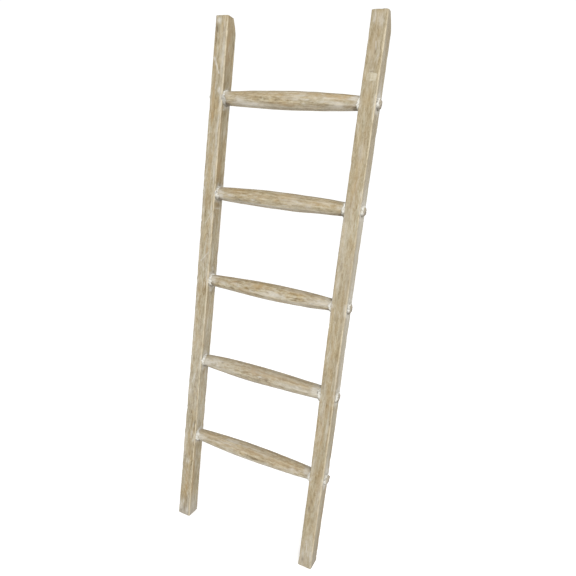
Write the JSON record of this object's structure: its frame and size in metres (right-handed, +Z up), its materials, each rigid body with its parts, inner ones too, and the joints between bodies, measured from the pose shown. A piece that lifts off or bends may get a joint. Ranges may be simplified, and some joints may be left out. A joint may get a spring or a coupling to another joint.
{
  "type": "quilt ladder rack",
  "caption": "Leaning wooden ladder rack: two stout stiles joined by barrel-shaped rungs with through tenons, for hanging folded quilts and blankets.",
  "frame": {"origin": "on the ground, midway between the two feet and at mid depth of the stiles", "axes": "+Z up the stiles from the feet to the top, X across the ladder, -Y the front and +Y the side towards the wall"},
  "size_m": [0.517, 0.052, 1.6],
  "materials": {
    "stile_wood": "whitewashed, brushed grain, matte",
    "rung_wood": "whitewashed, turned, matte",
    "wood_filler": "pale filler and pooled wash, matte",
    "brad_steel": "dull"
  },
  "bodies": {
    "root": {"stile_left": "stile_wood", "stile_right": "stile_wood", "rung_1_top": "rung_wood", "rung_2": "rung_wood", "rung_3": "rung_wood", "rung_4": "rung_wood", "rung_5_bottom": "rung_wood", "filler_outer_left": "wood_filler", "filler_outer_right": "wood_filler", "filler_inner_left": "wood_filler", "filler_inner_right": "wood_filler", "knot_plug": "wood_filler", "brads_left": "brad_steel", "brads_right": "brad_steel"}
  },
  "joints": []
}
